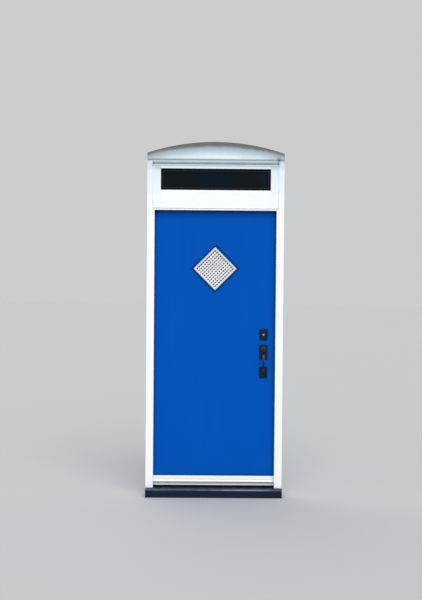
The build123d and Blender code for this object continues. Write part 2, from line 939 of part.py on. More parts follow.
def handle_upper_plate():
    """Plate with an arched hood over the thumb piece, its slot, and two bosses for the through screws."""
    plate = trim_plate(latch_z, upper_trim_height)
    shoulder = thumb_z + hood_radius
    outline = Polyline(
        (lock_x + hood_radius, shoulder),
        (lock_x + hood_radius, thumb_z),
        (lock_x - hood_radius, thumb_z),
        (lock_x - hood_radius, shoulder),
    ) + ThreePointArc(
        (lock_x - hood_radius, shoulder),
        (lock_x, shoulder + hood_radius),
        (lock_x + hood_radius, shoulder),
    )
    plate += slab_y(outline, (trim_front - hood_proud, trim_front))
    for x, z in latch_screws:
        plate += rod_y(x, z, boss_radius, (leaf_front, leaf_front + boss_length))
        plate -= rod_y(x, z, through_screw_radius + screw_fit, (leaf_front, leaf_front + boss_length))
    plate -= thumb_slot((trim_front - hood_proud, leaf_front))
    return plate - thumb_pin()


def thumb_pin():
    return rod_x(thumb_pin_y, thumb_z, thumb_pin_radius, about(lock_x, thumb_pin_length))


def thumb_piece():
    """Lever on its cross pin: a thumb pad outside, and a toe that hangs under the latch hub's lug."""
    half = thumb_thickness / 2
    eye = rod_x(0, 0, thumb_eye, about(0, thumb_stem))
    stem = block(about(0, thumb_stem), (half - thumb_reach, thumb_back), (-half, half))
    leg_y = (thumb_back, thumb_back + thumb_thickness)
    leg = block((-thumb_stem / 2, 0), leg_y, (-thumb_drop - half, half))
    toe = block(about(0, thumb_stem), (leg_y[0], thumb_toe_end), (-thumb_drop - half, -thumb_drop))
    pad = Pos(0, -thumb_reach, 0) * Cylinder(thumb_width / 2, thumb_thickness)
    pad += block(about(0, thumb_pad_root), (-thumb_reach, -thumb_reach / 2), (-half, half))
    dish_z = half + thumb_dish_radius - thumb_dish_depth
    pad -= Pos(0, -thumb_reach, dish_z) * Sphere(thumb_dish_radius)
    lever = eye + stem + leg + toe + pad
    lever -= rod_x(0, 0, thumb_pin_radius + pin_fit, about(0, thumb_stem))
    return Pos(lock_x, thumb_pin_y, thumb_z) * Rot(thumb_swing / 2, 0, 0) * lever


def handle_lower_plate():
    plate = trim_plate(lower_trim_z, lower_trim_height)
    plate += rod_y(lock_x, lower_trim_z, boss_radius, (leaf_front, leaf_front + boss_length))
    bored = (trim_front + grip_bolt_cover, leaf_front + boss_length)
    return plate - rod_y(lock_x, lower_trim_z, grip_bolt_radius + screw_fit, bored)


def handle_grip():
    """Bow grip: an arched bar with a narrow waist, that ends in wide feet on the two plates."""
    top = latch_z + upper_trim_height / 2 - grip_top_inset
    low = lower_trim_z - lower_trim_height / 2 + grip_bottom_inset
    middle = (top + low) / 2
    outer = trim_front - grip_reach
    inner = outer + grip_thickness
    foot = grip_foot_height
    side_view = (
        ThreePointArc((trim_front, low), (outer, middle), (trim_front, top))
        + Line((trim_front, top), (trim_front, top - foot))
        + ThreePointArc((trim_front, top - foot), (inner, middle), (trim_front, low + foot))
        + Line((trim_front, low + foot), (trim_front, low))
    )
    bar = run_x(side_view, about(lock_x, grip_foot_width))
    wide, waist = grip_foot_width / 2, grip_waist_width / 2
    front_view = (
        ThreePointArc((lock_x + wide, low), (lock_x + waist, middle), (lock_x + wide, top))
        + Line((lock_x + wide, top), (lock_x - wide, top))
        + ThreePointArc((lock_x - wide, top), (lock_x - waist, middle), (lock_x - wide, low))
        + Line((lock_x - wide, low), (lock_x + wide, low))
    )
    return bar & slab_y(front_view, (outer, trim_front))


# Room side trim


def room_rose(z, hole, screws):
    """Turned rose on the room face with two countersunk screw holes."""
    edge = leaf_back + rose_thickness
    rose = turned_y(
        lock_x,
        z,
        [
            (0, leaf_back),
            (rose_radius, leaf_back),
            (rose_radius, edge - trim_chamfer),
            (rose_radius - trim_chamfer, edge),
            (0, edge),
        ],
    )
    rose -= rod_y(lock_x, z, hole, (leaf_back, edge))
    for x, height in screws:
        depth = rose_thickness + boss_length
        rose -= countersunk((x, edge, height), (0, -1, 0), depth, through_screw_radius, screw_fit)
    return rose


def through_screws():
    """Screws from both roses to the street side trim, and the bolt that holds the grip's lower plate."""
    edge = leaf_back + rose_thickness
    length = edge - leaf_front - screw_fit
    pieces = []
    for x, z in deadbolt_screws + latch_screws:
        pieces.append(countersunk((x, edge, z), (0, -1, 0), length, through_screw_radius))
    shank = rod_y(lock_x, lower_trim_z, grip_bolt_radius, (trim_front + grip_bolt_cover, leaf_back))
    head = rod_y(lock_x, lower_trim_z, grip_bolt_head, (leaf_back, leaf_back + grip_bolt_head_height))
    pieces.append(shank + head)
    return pieces


def thumb_turn():
    """Oval turn on a short neck, with a socket for the tailpiece."""
    face = leaf_back + rose_thickness
    neck = rod_y(lock_x, deadbolt_z, knob_neck, (leaf_back - neck_sink, face + turn_gap))
    paddle_y = (face + turn_gap, face + turn_reach)
    paddle = block(about(lock_x, turn_width), paddle_y, about(deadbolt_z, turn_length))
    paddle = fillet(paddle.edges().filter_by(Axis.Y), turn_round)
    socket = tailpiece_bar((leaf_back - neck_sink, face), tailpiece_fit)
    return neck + paddle - socket


def door_knob():
    """Turned knob with its neck in the rose and a square spindle into the latch hub."""
    face = leaf_back + rose_thickness
    reach = face + knob_reach
    waist = face + knob_shank
    belly = (knob_radius, (waist + reach) / 2)
    profile = (
        Polyline((0, leaf_back), (knob_neck, leaf_back), (knob_neck, waist), (knob_back_radius, waist))
        + ThreePointArc((knob_back_radius, waist), belly, (knob_face_radius, reach))
        + Polyline((knob_face_radius, reach), (0, reach), (0, leaf_back))
    )
    body = Pos(lock_x, 0, latch_z) * revolve(make_face(profile.edges()), Axis.Y)
    return body + spindle_bar((hub_socket[0] + seat_gap, leaf_back), 0)


def all_nodes():
    """Every sub-part by its node name."""
    lower, middle, upper = hinge_heights()
    nodes = {
        "door_sill": door_sill(),
        "threshold": threshold(),
        "hinge_jamb": hinge_jamb(),
        "lock_jamb": lock_jamb(),
        "transom": transom(),
        "frame_head": frame_head(),
        "arched_head_board": arched_head_board(),
        "fanlight_left_stile": fanlight_stile(SIDES["left"]),
        "fanlight_right_stile": fanlight_stile(SIDES["right"]),
        "fanlight_bottom_rail": fanlight_rail((sash_low, pane_low)),
        "fanlight_top_rail": fanlight_rail((pane_high, sash_high)),
        "fanlight_glass": fanlight_glass(),
        "fanlight_beads": fanlight_beads(),
        "deadbolt_strike": strike_plate(deadbolt_z),
        "latch_strike": strike_plate(latch_z),
        "light_outer_beads": light_outer_beads(),
        "light_inner_beads": light_inner_beads(),
        "light_pane": light_pane(),
        "rising_laths": lattice_laths(rising_lath_count, lattice_front, True),
        "falling_laths": lattice_laths(falling_lath_count, lattice_front + lath_thickness, False),
        "deadbolt_plate": deadbolt_plate(),
        "lock_cylinder": lock_cylinder(),
        "key_plug": key_plug(),
        "deadbolt_case": lock_case(deadbolt_z),
        "deadbolt_faceplate": faceplate(deadbolt_z),
        "deadbolt": lock_bolt(deadbolt_z, deadbolt_throw, deadbolt_swing),
        "deadbolt_crank": deadbolt_crank(),
        "thumb_turn_rose": room_rose(deadbolt_z, knob_neck + neck_fit, deadbolt_screws),
        "thumb_turn": thumb_turn(),
        "handle_upper_plate": handle_upper_plate(),
        "handle_lower_plate": handle_lower_plate(),
        "handle_grip": handle_grip(),
        "thumb_piece": thumb_piece(),
        "thumb_pin": thumb_pin(),
        "latch_case": lock_case(latch_z),
        "latch_faceplate": faceplate(latch_z),
        "latch_bolt": latch_bolt(),
        "latch_hub": latch_hub(),
        "knob_rose": room_rose(latch_z, knob_neck + neck_fit, latch_screws),
        "door_knob": door_knob(),
        "through_screws": through_screws(),
        "hinge_frame_screws": hinge_screws(-rebate_x, -1),
        "hinge_door_screws": hinge_screws(-leaf_half, 1),
        "hinge_pins": [hinge_pin(z) for z in hinge_heights()],
    }
    for name, z in {"lower": lower, "middle": middle, "upper": upper}.items():
        nodes[name + "_hinge_frame_leaf"] = hinge_leaf(z, -rebate_x, -1, 0)
        nodes[name + "_hinge_door_leaf"] = hinge_leaf(z, -leaf_half, 1, 1)
    nodes["strike_screws"] = [
        countersunk((rebate_x, leaf_middle, height), (1, 0, 0), screw_length, screw_radius)
        for z in (deadbolt_z, latch_z)
        for height in strike_screw_heights(z)
    ]
    nodes["faceplate_screws"] = [
        countersunk((leaf_half, leaf_middle, height), (-1, 0, 0), screw_length, screw_radius)
        for z in (deadbolt_z, latch_z)
        for height in faceplate_screw_heights(z)
    ]
    cuts = leaf_cuts()
    for name, board in leaf_boards().items():
        nodes[name] = board - cuts
    return nodes


def export_nodes():
    os.makedirs("parts", exist_ok=True)
    for name, piece in all_nodes().items():
        shape = Compound(children=piece) if isinstance(piece, list) else piece
        shape.label = name
        export_step(shape, f"parts/{name}.step")


export_nodes()
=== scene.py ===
from math import cos, pi, radians, sin, sqrt

import bmesh
import bpy
from mathutils import Matrix, Vector


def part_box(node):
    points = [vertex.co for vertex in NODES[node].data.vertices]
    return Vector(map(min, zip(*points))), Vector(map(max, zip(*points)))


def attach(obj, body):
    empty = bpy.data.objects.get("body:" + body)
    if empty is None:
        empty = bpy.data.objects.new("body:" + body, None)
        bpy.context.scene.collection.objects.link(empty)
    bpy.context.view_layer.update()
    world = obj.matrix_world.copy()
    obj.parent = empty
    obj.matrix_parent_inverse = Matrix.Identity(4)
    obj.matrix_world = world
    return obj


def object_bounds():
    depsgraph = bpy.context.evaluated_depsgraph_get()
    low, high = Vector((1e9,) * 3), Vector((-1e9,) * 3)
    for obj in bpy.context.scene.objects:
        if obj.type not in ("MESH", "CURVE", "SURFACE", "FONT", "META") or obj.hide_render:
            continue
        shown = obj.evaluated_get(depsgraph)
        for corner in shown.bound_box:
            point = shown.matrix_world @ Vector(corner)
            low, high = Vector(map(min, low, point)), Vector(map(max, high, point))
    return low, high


# Looks for a flush blue front door with a diamond lattice light, in its white frame.
# Metres. X runs to the right seen from the street, Y into the house and Z up.
# Tones are linear red, green and blue.

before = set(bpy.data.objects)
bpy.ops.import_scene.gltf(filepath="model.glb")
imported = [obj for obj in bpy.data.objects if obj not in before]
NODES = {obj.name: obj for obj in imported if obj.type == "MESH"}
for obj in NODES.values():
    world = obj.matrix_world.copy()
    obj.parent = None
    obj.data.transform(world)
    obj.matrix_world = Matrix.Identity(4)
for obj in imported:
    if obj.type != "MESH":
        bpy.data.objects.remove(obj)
cad_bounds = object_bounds()

# Camera, fitted to the photograph
EYE = Vector((-0.103, -7.980, 1.700))
YAW, PITCH, ROLL = radians(0.533), radians(-1.846), radians(0.472)
FOCAL_PIXELS = 1094.4
LONG_SIDE_PIXELS = 600.0
SENSOR = 36.0

# CAD nodes that share a finish. Others are dressed by name, and all that is left is steel.
HEAD = ("frame_head", "arched_head_board", "fanlight_top_rail")
UPRIGHT = ("hinge_jamb", "lock_jamb", "fanlight_left_stile", "fanlight_right_stile")
PALE = [n for n in NODES if n.startswith(("fanlight", "light_inner")) and "glass" not in n]
LEVEL = [n for n in PALE if n not in UPRIGHT + HEAD]
LATTICE = ("rising_laths", "falling_laths")
BLUE = ("outer_skin", "inner_skin", "hinge_stile", "lock_stile", "top_rail", "bottom_rail")
PLATES = ("deadbolt_plate", "handle_upper_plate", "handle_lower_plate")
BRONZE = (*PLATES, "thumb_piece", "thumb_turn_rose", "thumb_turn", "knob_rose", "door_knob")
BARE = ("lock_block", "door_core")

# Widths of the fine bevels on their arrises, and the bluntest arris that gets one
TIMBER_ARRIS = 0.0012
LATH_ARRIS = 0.0006
LEAF_ARRIS = 0.0010
BRONZE_ARRIS = 0.0008
GRIP_ARRIS = 0.0028
BLUNTEST_ARRIS = radians(50)

# Places on the frame and the leaf
SILL_NOSE_TOP = 0.0605
ARCH_RISE = 0.082
STOP_X = 0.445
sill_low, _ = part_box("door_sill")
board_low, board_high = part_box("arched_head_board")
head_low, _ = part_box("frame_head")
rail_low, rail_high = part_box("fanlight_bottom_rail")
top_low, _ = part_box("fanlight_top_rail")
stile_low, stile_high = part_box("fanlight_right_stile")
glass_low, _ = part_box("fanlight_glass")
leaf_low, leaf_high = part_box("outer_skin")
light_low, light_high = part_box("light_outer_beads")
_, threshold_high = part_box("threshold")
transom_low, transom_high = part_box("transom")
upper_low, upper_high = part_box("handle_upper_plate")
lower_low, lower_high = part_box("handle_lower_plate")
dead_low, dead_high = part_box("deadbolt_plate")
LEAF_MIDDLE = (leaf_low.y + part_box("inner_skin")[1].y) / 2
LOCK_X = (dead_low.x + dead_high.x) / 2
ARCH_RADIUS = (board_high.x**2 + ARCH_RISE**2) / (2 * ARCH_RISE)
ARCH_CENTRE = board_high.z - ARCH_RADIUS


class Graph:
    """One material, with short calls for the nodes that make it."""

    def __init__(self, name):
        self.material = bpy.data.materials.new(name)
        self.material.use_nodes = True
        self.tree = self.material.node_tree
        self.shader = self.tree.nodes["Principled BSDF"]
        self.place = self.node("ShaderNodeTexCoord").outputs["Object"]
        self.normal = self.node("ShaderNodeNewGeometry").outputs["True Normal"]

    def node(self, kind, **settings):
        made = self.tree.nodes.new(kind)
        for key, value in settings.items():
            setattr(made, key, value)
        return made

    def put(self, socket, value):
        """Links an output to a socket, or sets the socket to a number or colour."""
        if isinstance(value, bpy.types.NodeSocket):
            self.tree.links.new(value, socket)
        elif isinstance(value, tuple) and len(value) == 3 and len(socket.default_value) == 4:
            socket.default_value = (*value, 1.0)
        else:
            socket.default_value = value

    def noise(self, scale, stretch=(1, 1, 1), detail=4.0, rough=0.55, warp=0.0):
        mapping = self.node("ShaderNodeMapping")
        self.put(mapping.inputs["Vector"], self.place)
        mapping.inputs["Scale"].default_value = [scale * part for part in stretch]
        made = self.node("ShaderNodeTexNoise")
        self.put(made.inputs["Vector"], mapping.outputs["Vector"])
        made.inputs["Scale"].default_value = 1.0
        made.inputs["Detail"].default_value = detail
        made.inputs["Roughness"].default_value = rough
        made.inputs["Distortion"].default_value = warp
        return made.outputs["Fac"]

    def fade(self, value, low, high, to_low=0.0, to_high=1.0):
        """Maps a stretch of values smoothly to another one and holds its ends."""
        made = self.node("ShaderNodeMapRange", interpolation_type="SMOOTHSTEP")
        for socket, number in zip(made.inputs[1:5], (low, high, to_low, to_high)):
            self.put(socket, number)
        self.put(made.inputs[0], value)
        return made.outputs[0]

    def patches(self, scale, low, high, to_low=0.0, to_high=1.0, **settings):
        """Patches of a noise, faded between two of its values."""
        return self.fade(self.noise(scale, **settings), low, high, to_low, to_high)

    def vary(self, scale, to_low, to_high, **settings):
        """A value that drifts between two ends with a noise."""
        return self.patches(scale, 0.3, 0.7, to_low, to_high, **settings)

    def mix(self, share, a, b):
        made = self.node("ShaderNodeMix", data_type="RGBA")
        self.put(made.inputs[0], share)
        self.put(made.inputs[6], a)
        self.put(made.inputs[7], b)
        return made.outputs[2]

    def math(self, kind, a, b=0.0):
        made = self.node("ShaderNodeMath", operation=kind)
        self.put(made.inputs[0], a)
        self.put(made.inputs[1], b)
        return made.outputs[0]

    def plus(self, a, b):
        return self.math("ADD", a, b)

    def minus(self, a, b):
        return self.math("SUBTRACT", a, b)

    def times(self, first, *others):
        for other in others:
            first = self.math("MULTIPLY", first, other)
        return first

    def unsigned(self, value):
        return self.math("ABSOLUTE", value)

    def length(self, a, b):
        return self.math("SQRT", self.plus(self.times(a, a), self.times(b, b)))

    def axis(self, letter, of=None):
        parts = self.node("ShaderNodeSeparateXYZ")
        self.put(parts.inputs[0], of or self.place)
        return parts.outputs[letter]

    def away(self, letter, middle=0.0):
        """Distance from a place on one axis, to either side."""
        return self.unsigned(self.minus(self.axis(letter), middle))

    def edge(self, radius):
        """1 along the arrises of a piece and 0 on its faces."""
        soft = self.node("ShaderNodeBevel", samples=4)
        soft.inputs["Radius"].default_value = radius
        dot = self.node("ShaderNodeVectorMath", operation="DOT_PRODUCT")
        self.put(dot.inputs[0], soft.outputs["Normal"])
        self.put(dot.inputs[1], self.normal)
        return self.fade(dot.outputs["Value"], 0.995, 0.8)

    def crevice(self, reach):
        """1 in the inner corners and 0 on open faces."""
        made = self.node("ShaderNodeAmbientOcclusion", samples=6)
        made.inputs["Distance"].default_value = reach
        return self.fade(made.outputs["AO"], 0.45, 0.95, 1.0, 0.0)

    def bump(self, height, strength, depth, under=None):
        made = self.node("ShaderNodeBump")
        made.inputs["Strength"].default_value = strength
        made.inputs["Distance"].default_value = depth
        self.put(made.inputs["Height"], height)
        if under is not None:
            self.put(made.inputs["Normal"], under)
        return made.outputs["Normal"]

    def finish(self, colour, roughness, normal, **constants):
        self.put(self.shader.inputs["Base Color"], colour)
        self.put(self.shader.inputs["Roughness"], roughness)
        self.put(self.shader.inputs["Normal"], normal)
        for name, value in constants.items():
            self.shader.inputs[name.replace("_", " ")].default_value = value
        return self.material


def along(axis, fine=1.0, coarse=0.04):
    """Stretch of a noise whose streaks run along one axis."""
    return tuple(coarse if letter == axis else fine for letter in "XYZ")


# Shares and distances that several materials use


def facing_street(g):
    """1 on faces that look towards the street."""
    return g.fade(g.axis("Y", g.normal), -0.15, -0.45)


def street_half(g):
    """1 from the leaf's street face outwards, and 0 from its middle inwards."""
    return g.fade(g.axis("Y"), LEAF_MIDDLE, leaf_low.y)


def outside_the_light(g):
    """How far a point lies outside the diamond light's outline, along the leaf's face."""
    middle = (light_low + light_high) / 2
    across_and_up = g.plus(g.away("X", middle.x), g.away("Z", middle.z))
    return g.times(g.minus(across_and_up, light_high.x - middle.x), sqrt(0.5))


def inside_the_plates(g):
    """How far a point lies inside the outline of the street side plate that it is on."""
    nearest = -1.0
    for plate in PLATES:
        low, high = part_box(plate)
        from_end = g.minus((high.z - low.z) / 2, g.away("Z", (low.z + high.z) / 2))
        nearest = g.math("MAXIMUM", nearest, from_end)
    from_side = g.minus((dead_high.x - dead_low.x) / 2, g.away("X", LOCK_X))
    return g.math("MINIMUM", nearest, from_side)


# Weathering and painted shade on the white paint, as layers that each take a tone and return the
# new one


def painted_shade_above_the_leaf(g, tone):
    """Cool painted shade that grows up from the transom's top over the fanlight's bottom rail."""
    share = g.fade(g.axis("Z"), transom_high.z, rail_high.z, 0.0, 0.75)
    return g.mix(g.times(facing_street(g), share), tone, (0.76, 0.87, 0.92))


def painted_shadow_below_the_head(g, tone):
    """Grey painted shadow of the head that runs down the uprights, half as strong on the jambs as
    on the fanlight.
    """
    below = g.minus(head_low.z, g.axis("Z"))
    shadow_share = g.plus(g.fade(below, 0.16, 0.03, 0.0, 0.16), g.fade(below, 0.045, -0.002, 0.0, 0.56))
    half_on_jambs = g.fade(g.away("X"), stile_high.x, stile_high.x + 0.006, 1.0, 0.5)
    return g.mix(g.times(facing_street(g), shadow_share, half_on_jambs), tone, (0.36, 0.42, 0.48))


def painted_bounce_from_the_leaf(g, tone):
    """Faint blue light bounced from the leaf, painted on the side faces of the stops, and not on
    the sash's inner faces.
    """
    sideways = g.fade(g.unsigned(g.axis("X", g.normal)), 0.5, 0.9)
    up_to_stop = g.fade(g.away("X"), STOP_X + 0.0025, STOP_X + 0.0010)
    not_sash = g.fade(g.away("X"), STOP_X - 0.025, STOP_X - 0.005)
    return g.mix(g.times(sideways, up_to_stop, not_sash), tone, (0.64, 0.77, 0.90))


def rim_of_the_beads(g, tone):
    """Beads a little greyer than the frame, with the leaf's blue lapped onto their rim."""
    tone = g.mix(facing_street(g), tone, (0.76, 0.81, 0.86))
    lap = g.fade(outside_the_light(g), -0.0125, -0.0005, 0.0, 0.85)
    return g.mix(g.times(lap, street_half(g)), tone, (0.16, 0.29, 0.52))


def transom_shadow_line(g, tone):
    """Grey painted shadow line near the transom's foot."""
    line = g.fade(g.away("Z", transom_low.z + 0.0145), 0.0085, 0.0030)
    streaks = g.vary(18, 0.76, 0.95, stretch=(1, 1, 0.2))
    return g.mix(g.times(facing_street(g), line, streaks), tone, (0.37, 0.42, 0.45))


def mould_and_shade_under_the_arch(g, clean):
    """Below the brick arch: mould with painted shadow along the board's edge, and a cool grey
    painted shadow.
    """
    across, height = g.away("X"), g.axis("Z")
    reach = g.minus(ARCH_RADIUS, g.length(across, g.minus(height, ARCH_CENTRE)))
    ragged = g.plus(reach, g.times(g.noise(24, detail=6, rough=0.65), 0.016))
    ragged = g.plus(ragged, g.fade(across, 0.18, 0.50, 0.0, 0.017))
    # Cool grey painted shadow of the arch, fading down from its edge
    cool_arch_shadow = g.mix(g.fade(across, 0.30, 0.46), (0.30, 0.405, 0.50), (0.30, 0.345, 0.405))
    tone = g.mix(g.fade(ragged, 0.135, 0.035), clean, cool_arch_shadow)
    # Mould along the board's edge, with the arch's shadow painted into it
    mould_and_arch_shadow = (0.125, 0.122, 0.105)
    tone = g.mix(g.fade(ragged, 0.055, 0.026), tone, mould_and_arch_shadow)

    # Painted shade in the joint below the board, and a paler band of painted shadow between it and
    # the pane
    joint = g.fade(g.away("Z", board_low.z + 0.001), 0.009, 0.003, 0.0, 0.75)
    tone = g.mix(joint, tone, (0.27, 0.36, 0.40))
    over_sash = g.fade(across, stile_high.x, stile_high.x - 0.006)
    below_board = g.fade(height, board_low.z + 0.001, board_low.z - 0.001)
    above_pane = g.fade(height, top_low.z + 0.002, top_low.z + 0.022)
    uneven = g.vary(30, 0.75, 0.95, stretch=(0.3, 1, 1))
    band = g.times(over_sash, below_board, above_pane, uneven)
    tone = g.mix(band, tone, (0.43, 0.53, 0.585))

    # Painted shade: dark spots in the head's corners and at the joint's right end, and a line at
    # the sash's sides
    past_sash = g.minus(across, stile_high.x - 0.002)
    corner = g.length(past_sash, g.minus(height, head_low.z + 0.008))
    tone = g.mix(g.fade(corner, 0.020, 0.006), tone, (0.03, 0.055, 0.08))
    right_end = g.length(g.minus(g.axis("X"), stile_high.x), g.minus(height, board_low.z))
    tone = g.mix(g.fade(right_end, 0.026, 0.006, 0.0, 0.8), tone, (0.08, 0.16, 0.20))
    line = g.times(g.fade(g.unsigned(past_sash), 0.008, 0.002, 0.0, 0.55), below_board)
    tone = g.mix(line, tone, (0.24, 0.33, 0.38))

    near_street = g.fade(g.axis("Y"), 0.050, 0.040)
    not_inwards = g.fade(g.axis("Y", g.normal), 0.5, 0.2)
    return g.mix(g.times(near_street, not_inwards), clean, tone)


# Materials


def white_paint(name, axis, *weather_and_shade, dirt_and_shade=1.0, dust_and_shade_tone=(0.38, 0.39, 0.38), coat=0.90):
    """Brushed white gloss, with dust and painted shade in its corners and splashes near the ground.

    Brush marks run along the axis. Weather and painted shade layers go over the paint, under the
    dust.
    """
    g = Graph(name)
    thin = (coat - 0.01, coat + 0.015, coat + 0.025)
    full = (coat + 0.05, coat + 0.06, coat + 0.065)
    tone = g.mix(g.noise(2.2, detail=3), thin, full)
    brushed = g.patches(40, 0.35, 0.75, 0.0, 0.22, stretch=along(axis))
    tone = g.mix(brushed, tone, (0.80, 0.82, 0.82))
    for layer in weather_and_shade:
        tone = layer(g, tone)
    # Dust and painted shade in the corners, by how enclosed they are
    dust_and_shading = g.patches(22, 0.3, 0.75, 0.10 * dirt_and_shade, 0.60 * dirt_and_shade, detail=6)
    tone = g.mix(g.times(g.crevice(0.014), dust_and_shading), tone, dust_and_shade_tone)
    splashes = g.patches(60, 0.56, 0.74, 0.0, 0.28 * dirt_and_shade, detail=7, rough=0.7)
    tone = g.mix(g.times(g.fade(g.axis("Z"), 0.30, 0.08), splashes), tone, (0.55, 0.52, 0.47))
    chips = g.times(g.edge(0.0018), g.patches(55, 0.57, 0.66, detail=6, rough=0.7))
    tone = g.mix(chips, tone, (0.40, 0.48, 0.56))
    gloss = g.vary(9, 0.34, 0.52, detail=5)
    marks = g.bump(g.noise(260, along(axis, 1.0, 0.02), detail=3), 0.18, 0.0006)
    waves = g.bump(g.noise(14, along(axis, 1.0, 0.25), detail=2), 0.25, 0.0012, marks)
    return g.finish(tone, gloss, waves)


def blue_paint():
    """Smooth satin blue: faintly faded, navy painted shade in corners and round the light, rubbed
    at arrises.
    """
    g = Graph("blue_paint")
    height, from_light = g.axis("Z"), outside_the_light(g)
    deep, bright = (0.0002, 0.077, 0.415), (0.0004, 0.092, 0.475)
    tone = g.mix(g.noise(1.3, (1, 1, 0.6), detail=3), deep, bright)
    faded = g.patches(30, 0.4, 0.8, 0.0, 0.12, stretch=along("Z", 1.0, 0.05))
    tone = g.mix(faded, tone, (0.002, 0.115, 0.500))
    # Navy painted shade in the corners, strongest below the transom
    shade_share_below_the_transom = g.fade(height, leaf_high.z - 0.20, leaf_high.z - 0.03, 0.35, 0.95)
    tone = g.mix(g.times(g.crevice(0.026), shade_share_below_the_transom), tone, (0.0003, 0.012, 0.055))
    # Dust and painted shade in the corners
    dust_and_shading = g.patches(35, 0.35, 0.7, 0.65, 0.98, detail=5)
    tone = g.mix(g.times(g.crevice(0.014), dust_and_shading), tone, (0.0015, 0.008, 0.028))
    # Navy painted shade round the light, darkest next to its beads
    shade_round_the_light = g.fade(from_light, 0.032, 0.008, 0.0, 0.40)
    tone = g.mix(shade_round_the_light, tone, (0.0010, 0.036, 0.170))
    outline = g.times(g.fade(from_light, 0.0145, 0.0035), g.vary(60, 0.6, 0.95, detail=5))
    tone = g.mix(outline, tone, (0.0004, 0.008, 0.040))
    foot = g.times(g.fade(height, 0.166, 0.148), g.vary(40, 0.3, 0.7, detail=5))
    tone = g.mix(foot, tone, (0.0010, 0.030, 0.130))
    rubbed = g.times(g.edge(0.0015), g.patches(70, 0.50, 0.66, 0.0, 0.7, detail=6, rough=0.7))
    tone = g.mix(rubbed, tone, (0.07, 0.19, 0.47))
    specks = g.patches(420, 0.58, 0.70, 0.0, 0.35, detail=5, rough=0.65)
    tone = g.mix(g.times(g.fade(height, 0.50, 0.14), specks), tone, (0.08, 0.15, 0.26))
    gloss = g.vary(5, 0.36, 0.48, detail=5)
    peel = g.bump(g.noise(420, detail=2), 0.10, 0.0004)
    marks = g.bump(g.noise(180, along("Z", 1.0, 0.02), detail=3), 0.10, 0.0005, peel)
    return g.finish(tone, gloss, marks, Specular_IOR_Level=0.03)


def black_paint():
    """Black sill paint: painted shade at the back, dust and painted skylight in front, and a pale
    blue grey nose that is trodden and painted with a highlight.
    """
    g = Graph("black_paint")
    depth, height, across = g.axis("Y"), g.axis("Z"), g.axis("X")
    grain = g.noise(60, along("X", 1.0, 0.05), detail=5)
    tone = g.mix(grain, (0.0070, 0.0110, 0.0240), (0.0140, 0.0210, 0.0420))
    # Painted shade at the back, under the threshold's nose and between the jambs
    tone = g.mix(g.fade(depth, -0.020, 0.030), tone, (0.0012, 0.0016, 0.0040))
    # Dust with painted skylight on the upward faces in front
    upward = g.fade(g.axis("Z", g.normal), 0.5, 0.98)
    forward = g.fade(depth, 0.012, sill_low.y + 0.012)
    dust_and_shading = g.vary(14, 0.35, 0.95, stretch=(0.35, 1, 1), detail=6)
    tone = g.mix(g.times(upward, forward, dust_and_shading), tone, (0.048, 0.074, 0.125))
    # Nose trodden pale blue grey, with a painted highlight along it
    nose = g.fade(depth, sill_low.y + 0.014, sill_low.y + 0.005)
    top = g.fade(height, SILL_NOSE_TOP - 0.012, SILL_NOSE_TOP - 0.005)
    less_left = g.fade(across, -0.48, 0.20, 0.45, 1.0)
    less_right = g.fade(across, 0.48, 0.32, 0.35, 1.0)
    scuffs = g.patches(9, 0.34, 0.62, 0.30, 1.0, stretch=(0.5, 1, 1), detail=6, rough=0.65)
    trodden_and_highlit = g.times(nose, top, less_left, less_right, scuffs)
    tone = g.mix(trodden_and_highlit, tone, (0.165, 0.225, 0.345))
    chips = g.times(nose, g.patches(45, 0.66, 0.72, detail=7, rough=0.7))
    tone = g.mix(chips, tone, (0.110, 0.085, 0.070))
    gloss = g.vary(18, 0.50, 0.68, detail=5)
    fine = g.bump(grain, 0.35, 0.0010)
    pits = g.bump(g.patches(130, 0.55, 0.75, 1.0, 0.0), 0.25, 0.0008, fine)
    return g.finish(tone, gloss, pits, Specular_IOR_Level=0.07)


def dark_bronze(name, proud_tone, rubbed_tone, held=None):
    """Blackened bronze, with a tone where it stands proud of the plates and one on arrises there.

    A piece that hands hold stays darker round its middle: held has that height and its reach.
    On the others the leaf's blue is lapped onto the rims of the street side plates.
    """
    g = Graph(name)
    patina = g.patches(90, 0.35, 0.68, detail=6, rough=0.65)
    tone = g.mix(patina, (0.0035, 0.012, 0.027), (0.011, 0.024, 0.050))
    proud = g.fade(g.away("Y", LEAF_MIDDLE), 0.0292, 0.0330)
    handled = g.times(proud, g.patches(45, 0.32, 0.60, 0.55, 1.0, detail=5))
    if held:
        middle, reach = held
        beyond = g.fade(g.away("Z", middle), reach * 0.85, reach * 1.3, 0.25, 1.0)
        handled = g.times(handled, beyond)
    tone = g.mix(handled, tone, proud_tone)
    rubbed = g.times(g.edge(0.0012), g.patches(120, 0.35, 0.62, 0.15, 0.8, detail=5), proud)
    tone = g.mix(rubbed, tone, rubbed_tone)
    if not held:
        rim = g.fade(inside_the_plates(g), 0.0065, 0.0030)
        lap = g.times(rim, street_half(g), g.vary(70, 0.75, 1.0, detail=5))
        tone = g.mix(lap, tone, (0.003, 0.048, 0.150))
    tone = g.mix(g.times(g.crevice(0.006), 0.85), tone, (0.004, 0.004, 0.005))
    gloss = g.vary(60, 0.34, 0.55, detail=6)
    hammered = g.bump(g.noise(160, detail=3), 0.35, 0.0006)
    return g.finish(tone, gloss, hammered, Metallic=0.80, Specular_IOR_Level=0.2)


